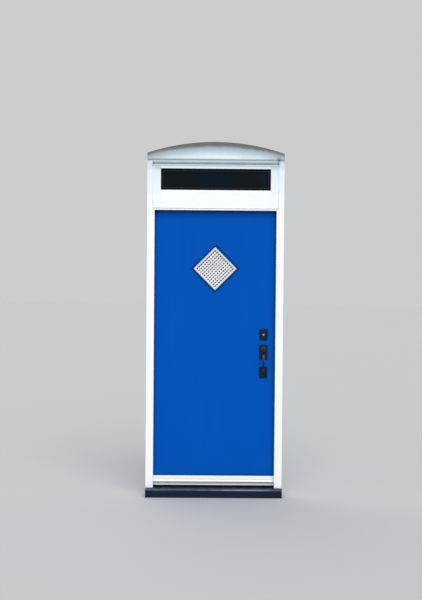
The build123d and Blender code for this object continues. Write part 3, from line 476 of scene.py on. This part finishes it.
def satin_steel():
    g = Graph("satin_steel")
    lines = g.noise(700, along("Z", 1.0, 0.01), detail=3)
    tone = g.mix(lines, (0.38, 0.38, 0.37), (0.60, 0.60, 0.58))
    stains = g.patches(50, 0.58, 0.74, 0.0, 0.6, detail=6, rough=0.7)
    tone = g.mix(stains, tone, (0.22, 0.20, 0.18))
    tone = g.mix(g.times(g.edge(0.0010), 0.6), tone, (0.75, 0.75, 0.73))
    gloss = g.vary(45, 0.26, 0.44, detail=5)
    return g.finish(tone, gloss, g.bump(lines, 0.12, 0.0002), Metallic=1.0)


def key_brass():
    g = Graph("key_brass")
    tone = g.mix(g.noise(240, detail=5), (0.52, 0.40, 0.22), (0.86, 0.74, 0.52))
    tone = g.mix(g.times(g.crevice(0.003), 0.8), tone, (0.07, 0.05, 0.03))
    scratches = g.noise(900, (1, 1, 0.08), detail=2)
    gloss = g.fade(scratches, 0.3, 0.7, 0.22, 0.42)
    return g.finish(tone, gloss, g.bump(scratches, 0.2, 0.0002), Metallic=1.0)


def planed_timber():
    g = Graph("planed_timber")
    rings = g.noise(38, along("Z", 1.0, 0.03), detail=4, warp=0.8)
    tone = g.mix(g.fade(rings, 0.40, 0.62), (0.60, 0.41, 0.23), (0.37, 0.22, 0.11))
    pores = g.noise(420, along("Z", 1.0, 0.03), detail=2)
    tone = g.mix(g.fade(pores, 0.58, 0.72, 0.0, 0.5), tone, (0.20, 0.12, 0.06))
    gloss = g.fade(rings, 0.3, 0.7, 0.55, 0.75)
    return g.finish(tone, gloss, g.bump(pores, 0.3, 0.0005))


def painted_room_and_reflections(g):
    """Tone of a dark room painted behind the glass, with painted greenish and bluish reflections,
    behind a sealed unit's spacer.
    """
    tone = g.mix(g.noise(5.0, detail=4), (0.0022, 0.0050, 0.0058), (0.0045, 0.0068, 0.0072))
    # Painted greenish and bluish reflections across the middle and towards the right
    across = g.plus(g.axis("X"), g.times(g.noise(6.0, detail=3), 0.18))
    middle = g.fade(g.unsigned(g.minus(across, 0.06)), 0.17, 0.05)
    tone = g.mix(middle, tone, (0.0004, 0.0068, 0.0160))
    tone = g.mix(g.fade(across, 0.38, 0.47), tone, (0.0014, 0.0090, 0.0230))
    half_height = (top_low.z - rail_high.z) / 2
    from_side = g.minus(rail_high.x, g.away("X"))
    from_rail = g.minus(half_height, g.away("Z", rail_high.z + half_height))
    border = g.math("MINIMUM", from_side, from_rail)
    spacer = g.times(g.fade(border, 0.0125, 0.0145), g.fade(border, 0.0215, 0.0195), 0.9)
    tone = g.mix(spacer, tone, (0.0150, 0.0220, 0.0280))
    tone = g.mix(g.fade(border, 0.0140, 0.0120), tone, (0.0002, 0.0006, 0.0014))
    beside = g.times(g.fade(border, 0.0205, 0.0220), g.fade(border, 0.0400, 0.0260), 0.7)
    return g.mix(beside, tone, (0.0004, 0.0022, 0.0040))


def grey_cloud(g):
    """Tone of clouded glass."""
    return g.mix(g.noise(45, detail=5), (0.030, 0.032, 0.034), (0.074, 0.072, 0.070))


def window_glass(name, behind):
    """Smeared and faintly wavy glass, in the tone of what lies behind it."""
    g = Graph(name)
    gloss = g.patches(26, 0.35, 0.75, 0.04, 0.18, stretch=(1, 1, 0.4), detail=6, rough=0.65)
    wave = g.bump(g.noise(3.0, detail=1), 0.08, 0.002)
    return g.finish(behind(g), gloss, wave, Specular_IOR_Level=0.10)


def soft_rubber(name, dark=(0.007, 0.008, 0.010), worn=(0.028, 0.030, 0.034)):
    g = Graph(name)
    tone = g.mix(g.noise(120, detail=5), dark, worn)
    gloss = g.vary(70, 0.55, 0.78, detail=4)
    return g.finish(tone, gloss, g.bump(g.noise(600, detail=2), 0.25, 0.0002))


def pale_floor():
    g = Graph("pale_floor")
    tone = g.mix(g.noise(0.6, detail=4), (0.496, 0.501, 0.506), (0.504, 0.509, 0.514))
    gloss = g.vary(3, 0.85, 0.9, detail=4)
    return g.finish(tone, gloss, g.bump(g.noise(40, detail=3), 0.02, 0.001), Specular_IOR_Level=0.1)


# CAD nodes keep their shapes. A fine bevel takes the sharpness off their arrises.

dressed = set()


def dress(names, material, arris=0.0):
    for name in names:
        dressed.add(name)
        node = NODES[name]
        node.data.materials.clear()
        node.data.materials.append(material)
        if arris:
            soft = node.modifiers.new("arris", "BEVEL")
            soft.width = arris
            soft.segments = 2
            soft.limit_method = "ANGLE"
            soft.angle_limit = BLUNTEST_ARRIS
            soft.use_clamp_overlap = True


upright_white = white_paint(
    "white_paint_upright",
    "Z",
    painted_shade_above_the_leaf,
    painted_shadow_below_the_head,
    painted_bounce_from_the_leaf,
    dust_and_shade_tone=(0.32, 0.42, 0.52),
)
head_white = white_paint("white_paint_head", "X", painted_shade_above_the_leaf, mould_and_shade_under_the_arch)
level_white = white_paint("white_paint_level", "X", dirt_and_shade=0.2)
bead_white = white_paint("white_paint_light_beads", "X", rim_of_the_beads, dirt_and_shade=0.2)
transom_white = white_paint("white_paint_transom", "X", transom_shadow_line, dirt_and_shade=0.2)
threshold_white = white_paint("white_paint_threshold", "X", dirt_and_shade=0.1, coat=0.93)
lattice_white = white_paint(
    "white_paint_lattice", "X", dirt_and_shade=1.5, dust_and_shade_tone=(0.15, 0.15, 0.15), coat=0.82
)
bronze = dark_bronze("dark_bronze", (0.074, 0.079, 0.078), (0.34, 0.35, 0.35))
cylinder_bronze = dark_bronze("cylinder_bronze", (0.036, 0.039, 0.040), (0.20, 0.21, 0.21))
grip_middle = (upper_low.z + lower_high.z) / 2
grip_reach = (upper_low.z - lower_high.z) / 2
grip_bronze = dark_bronze(
    "grip_bronze", (0.042, 0.049, 0.056), (0.20, 0.21, 0.21), held=(grip_middle, grip_reach)
)

dress(HEAD, head_white, TIMBER_ARRIS)
dress(UPRIGHT, upright_white, TIMBER_ARRIS)
dress(LEVEL, level_white, TIMBER_ARRIS)
dress(["light_outer_beads"], bead_white, TIMBER_ARRIS)
dress(["transom"], transom_white, TIMBER_ARRIS)
dress(["threshold"], threshold_white, TIMBER_ARRIS)
dress(LATTICE, lattice_white, LATH_ARRIS)
dress(BLUE, blue_paint(), LEAF_ARRIS)
dress(["door_sill"], black_paint())
dress(BRONZE, bronze, BRONZE_ARRIS)
dress(["lock_cylinder"], cylinder_bronze, BRONZE_ARRIS)
dress(["handle_grip"], grip_bronze, GRIP_ARRIS)
dress(["fanlight_glass"], window_glass("fanlight_glass", painted_room_and_reflections))
dress(["light_pane"], window_glass("light_glass", grey_cloud))
dress(BARE, planed_timber())
dress(["key_plug"], key_brass())
dress([n for n in NODES if n not in dressed], satin_steel())


# Pieces that only the looks need

SHARPEST_MITRE = 0.3
TIP_SHARE = 0.8


def swept(name, points, radius, body, material, closed=True, squeeze=1.0, sides=10):
    """Bead with a round section that follows points in an upright plane, with mitred turns."""
    build = bmesh.new()
    points = [Vector(point) for point in points]
    count = len(points)
    rings = []
    for index, here in enumerate(points):
        before = here - points[index - 1] if closed or index else points[1] - here
        last = index == count - 1 and not closed
        after = here - points[index - 1] if last else points[(index + 1) % count] - here
        before, after = before.normalized(), after.normalized()
        across = (before + after).normalized().cross(Vector((0, 1, 0)))
        stretch = 1.0 / max(SHARPEST_MITRE, sqrt((1.0 + before.dot(after)) / 2))
        ring = []
        for step in range(sides):
            angle = 2 * pi * step / sides
            out = across * (cos(angle) * radius * stretch)
            ring.append(build.verts.new(here + out + Vector((0, sin(angle) * radius * squeeze, 0))))
        rings.append(ring)
    for index in range(count if closed else count - 1):
        first, second = rings[index], rings[(index + 1) % count]
        for step in range(sides):
            turn = (step + 1) % sides
            build.faces.new((first[step], first[turn], second[turn], second[step]))
    if not closed:
        for end, inner in ((0, 1), (-1, -2)):
            outwards = (points[end] - points[inner]).normalized()
            tip = build.verts.new(points[end] + outwards * radius * TIP_SHARE)
            ring = rings[end]
            for step in range(sides):
                build.faces.new((ring[step], ring[(step + 1) % sides], tip))
    bmesh.ops.recalc_face_normals(build, faces=build.faces)
    for face in build.faces:
        face.smooth = True
    piece = piece_of(name, build, material)
    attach(piece, body)


def piece_of(name, build, material):
    """Object made of a bmesh, with one material."""
    mesh = bpy.data.meshes.new(name)
    build.to_mesh(mesh)
    build.free()
    piece = bpy.data.objects.new(name, mesh)
    bpy.context.collection.objects.link(piece)
    piece.data.materials.append(material)
    return piece


def rectangle(x, z, y):
    return [(x[0], y, z[0]), (x[1], y, z[0]), (x[1], y, z[1]), (x[0], y, z[1])]


def arc(x, z, y, radius, start, end, steps):
    """Points on an arc in the leaf's plane, by angles from the right."""
    angles = [start + (end - start) * step / steps for step in range(steps + 1)]
    return [(x + radius * cos(a), y, z + radius * sin(a)) for a in angles]


# Rubber gasket round the fanlight's glass
GASKET = 0.0022
GASKET_PROUD = GASKET * 0.6
gasket_line = rectangle(
    (rail_low.x + GASKET, rail_high.x - GASKET),
    (rail_high.z + GASKET, top_low.z - GASKET),
    glass_low.y - GASKET_PROUD,
)
swept("fanlight_gasket", gasket_line, GASKET, "frame", soft_rubber("black_rubber"))

# Bulb seal in the corner between the stops and the shut leaf, painted over in a mid blue
SEAL = 0.0022
SEAL_INSET = SEAL * 0.7
SEAL_GAP = 0.0005
seal_line = rectangle(
    (SEAL_INSET - STOP_X, STOP_X - SEAL_INSET),
    (threshold_high.z + SEAL_INSET, transom_low.z - SEAL_INSET),
    leaf_low.y - SEAL_GAP - SEAL,
)
painted_rubber = soft_rubber("painted_rubber", (0.016, 0.110, 0.300), (0.030, 0.150, 0.380))
swept("leaf_weather_seal", seal_line, SEAL, "frame", painted_rubber)

# Paint that has filled the joints at the sides of the fixed fanlight
JOINT_PAINT = 0.0024
HALF_JOINT = 0.0010
joint_y = stile_low.y + 0.0002
joint_ends = (stile_low.z + 0.001, head_low.z - 0.003)
for side, label in ((-1, "left"), (1, "right")):
    swept(
        f"fanlight_{label}_joint_paint",
        [(side * (stile_high.x + HALF_JOINT), joint_y, z) for z in joint_ends],
        JOINT_PAINT,
        "frame",
        upright_white,
        closed=False,
    )

# Raised mouldings on the street side plates
PLATE_Y = dead_low.y
BEAD = 0.0026
RING = 0.0205
dead_z = (dead_low.z + dead_high.z) / 2
ring_line = arc(LOCK_X, dead_z, PLATE_Y, RING, 0, 2 * pi, 40)[:-1]
swept("deadbolt_plate_ring", ring_line, BEAD, "leaf", bronze)

ARCH = 0.0175
arch_foot, arch_spring = upper_low.z + 0.010, upper_high.z - 0.0230
arch_line = [
    (LOCK_X + ARCH, PLATE_Y, arch_foot),
    *arc(LOCK_X, arch_spring, PLATE_Y, ARCH, 0, pi, 24),
    (LOCK_X - ARCH, PLATE_Y, arch_foot),
]
swept("upper_plate_arch", arch_line, BEAD, "leaf", bronze, closed=False)

RIB = 0.0125
RIB_RINGS = (-0.021, -0.018, -0.012, 0.0, 0.012, 0.018, 0.021)
RIB_FLATNESS = 0.30
lower_z = (lower_low.z + lower_high.z) / 2
swept(
    "lower_plate_rib",
    [(LOCK_X, PLATE_Y, lower_z + up) for up in RIB_RINGS],
    RIB,
    "leaf",
    bronze,
    closed=False,
    squeeze=RIB_FLATNESS,
    sides=20,
)

# Slots of the screw heads, as fine dark bars of painted shade that fill them.
# Each row has a node, the axis and the side that its heads face, and its body.
SCREWS = (
    ("through_screws", 1, 1, "leaf"),
    ("faceplate_screws", 0, 1, "leaf"),
    ("hinge_door_screws", 0, -1, "leaf"),
    ("hinge_frame_screws", 0, 1, "frame"),
    ("strike_screws", 0, -1, "frame"),
)
SCREW_HEAD = 0.0042
ONE_HEAD = 2.2 * SCREW_HEAD
SAME_PLANE = 1e-5
SLOT_SIZE = (1.6 * SCREW_HEAD, 0.24 * SCREW_HEAD, 0.0003)
SLOT_ARRIS = 0.0001
FIRST_TURN, NEXT_TURN = 0.4, 0.9


def screw_heads(node, axis, side):
    """Middles of the screw heads that face one way, read from a node's mesh."""
    points = [vertex.co.copy() for vertex in NODES[node].data.vertices]
    face = max(point[axis] * side for point in points)
    heads = []
    for point in points:
        if abs(point[axis] * side - face) < SAME_PLANE:
            near = next((head for head in heads if (head[0] - point).length < ONE_HEAD), None)
            if near:
                near.append(point)
            else:
                heads.append([point])
    middles = []
    for head in heads:
        low = Vector([min(point[i] for point in head) for i in range(3)])
        high = Vector([max(point[i] for point in head) for i in range(3)])
        middles.append((low + high) / 2)
    return middles


def screw_slots(node, axis, side, body, material):
    build = bmesh.new()
    out = Vector([side if index == axis else 0 for index in range(3)])
    facing = out.to_track_quat("Z", "Y").to_matrix().to_4x4()
    size = Matrix.Diagonal((*SLOT_SIZE, 1))
    for number, centre in enumerate(screw_heads(node, axis, side)):
        turn = facing @ Matrix.Rotation(FIRST_TURN + NEXT_TURN * number, 4, "Z")
        bmesh.ops.create_cube(build, size=1.0, matrix=Matrix.Translation(centre) @ turn @ size)
    piece = piece_of(node + "_slots", build, material)
    piece.modifiers.new("arris", "BEVEL").width = SLOT_ARRIS
    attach(piece, body)


# Painted shade for the screw slots
slot_shade = soft_rubber("slot_shade")
for node, axis, side, body in SCREWS:
    screw_slots(node, axis, side, body, slot_shade)


# Stage, lights and camera

FLOOR_SIZE = 80
FLOOR_GAP = 0.0005
STUDIO_GREY = (0.60, 0.61, 0.62)


def floor():
    below = cad_bounds[0][2] - FLOOR_GAP
    bpy.ops.mesh.primitive_plane_add(size=FLOOR_SIZE, location=(0, 0, below))
    plane = bpy.context.object
    plane.name = "pale_floor"
    plane.data.materials.append(pale_floor())


def soft_sun(name, towards, strength, spread):
    """Even light from one direction, as soft as an overcast sky."""
    light = bpy.data.lights.new(name, "SUN")
    light.energy = strength
    light.angle = radians(spread)
    piece = bpy.data.objects.new(name, light)
    piece.rotation_euler = Vector(towards).to_track_quat("Z", "Y").to_euler()
    bpy.context.collection.objects.link(piece)


def camera():
    forward = Vector((sin(YAW) * cos(PITCH), cos(YAW) * cos(PITCH), sin(PITCH)))
    right = Vector((cos(YAW), -sin(YAW), 0))
    up = right.cross(forward)
    right, up = right * cos(ROLL) + up * sin(ROLL), up * cos(ROLL) - right * sin(ROLL)
    data = bpy.data.cameras.new("camera")
    data.sensor_width = SENSOR
    data.lens = FOCAL_PIXELS / LONG_SIDE_PIXELS * SENSOR
    piece = bpy.data.objects.new("camera", data)
    turned = Matrix((right, up, -forward)).transposed().to_4x4()
    piece.matrix_world = Matrix.Translation(EYE) @ turned
    bpy.context.collection.objects.link(piece)
    bpy.context.scene.camera = piece


def studio():
    """World of one grey, so that some light comes from all sides."""
    world = bpy.data.worlds.new("studio")
    world.use_nodes = True
    background = world.node_tree.nodes["Background"]
    background.inputs["Color"].default_value = (*STUDIO_GREY, 1)
    background.inputs["Strength"].default_value = 1.0
    bpy.context.scene.world = world


floor()
soft_sun("sky", towards=(0.14, -1.0, 0.90), strength=1.96, spread=50)
soft_sun("room", towards=(-0.6, 1.0, 0.9), strength=0.7, spread=60)
camera()
studio()
bpy.context.scene.view_settings.view_transform = "Standard"
